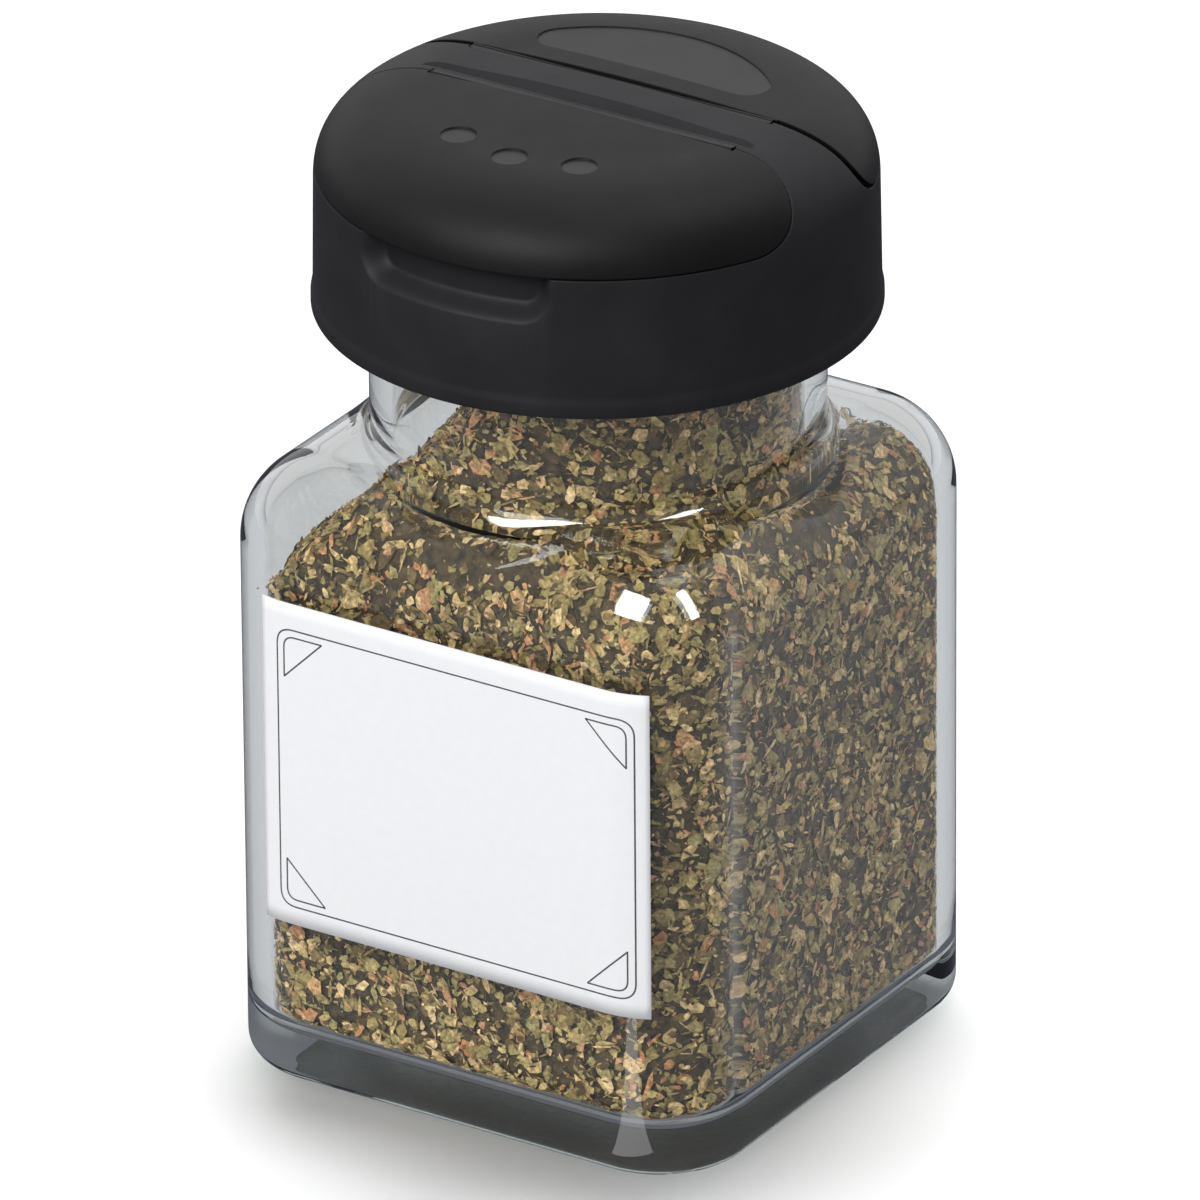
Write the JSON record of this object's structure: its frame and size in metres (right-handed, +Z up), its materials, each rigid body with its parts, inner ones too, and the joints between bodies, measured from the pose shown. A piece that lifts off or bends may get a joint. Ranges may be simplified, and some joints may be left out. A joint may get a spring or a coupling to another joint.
{
  "type": "spice jar",
  "caption": "Square glass spice jar with a blank paper label, filled with dried herbs, under a black screw cap with a sifting flap and a pouring flap.",
  "frame": {"origin": "centre of the jar's base, on the surface it stands on", "axes": "+Z up along the jar and cap axis; the label and the sifting flap face -Y; both flap hinges run along X"},
  "size_m": [0.05, 0.0501, 0.0895],
  "materials": {
    "glass": "clear soda-lime glass with a faint green-grey edge",
    "herbs": "loose dried leaf flakes in olive, grey-green and tan",
    "label": "matt white paper with a thin printed border",
    "liner": "white foamed polyethylene",
    "cap": "fine matt moulded polypropylene",
    "hinge": "thin flexed polypropylene",
    "flap": "fine matt moulded polypropylene with smoother marks"
  },
  "bodies": {
    "jar": {"glass_jar": "glass", "herb_fill": "herbs", "paper_label": "label"},
    "liner": {"sealing_liner": "liner"},
    "cap": {"cap_body": "cap", "sifter_hinge_web": "hinge", "pour_hinge_web": "hinge"},
    "sifter_flap": {"sifter_flap": "flap"},
    "pour_flap": {"pour_flap": "flap"}
  },
  "joints": [
    {"name": "cap_turn", "type": "hinge", "parent": "liner", "child": "cap", "pos_m": [0, 0, 0.08], "axis": [0, 0, 1], "range_deg": [0, 360]},
    {"name": "cap_lift", "type": "slide", "parent": "jar", "child": "liner", "axis": [0, 0, 1], "range_m": [0, 0.0042]},
    {"name": "sifter_flap_hinge", "type": "hinge", "parent": "cap", "child": "sifter_flap", "pos_m": [0, -0.00245, 0.08895], "axis": [-1, 0, 0], "range_deg": [0, 100]},
    {"name": "pour_flap_hinge", "type": "hinge", "parent": "cap", "child": "pour_flap", "pos_m": [0, 0.0043, 0.08895], "axis": [1, 0, 0], "range_deg": [0, 100]}
  ],
  "couplings": [
    {"joint": "cap_turn", "follows": "cap_lift", "rad_per_m": 1496}
  ]
}
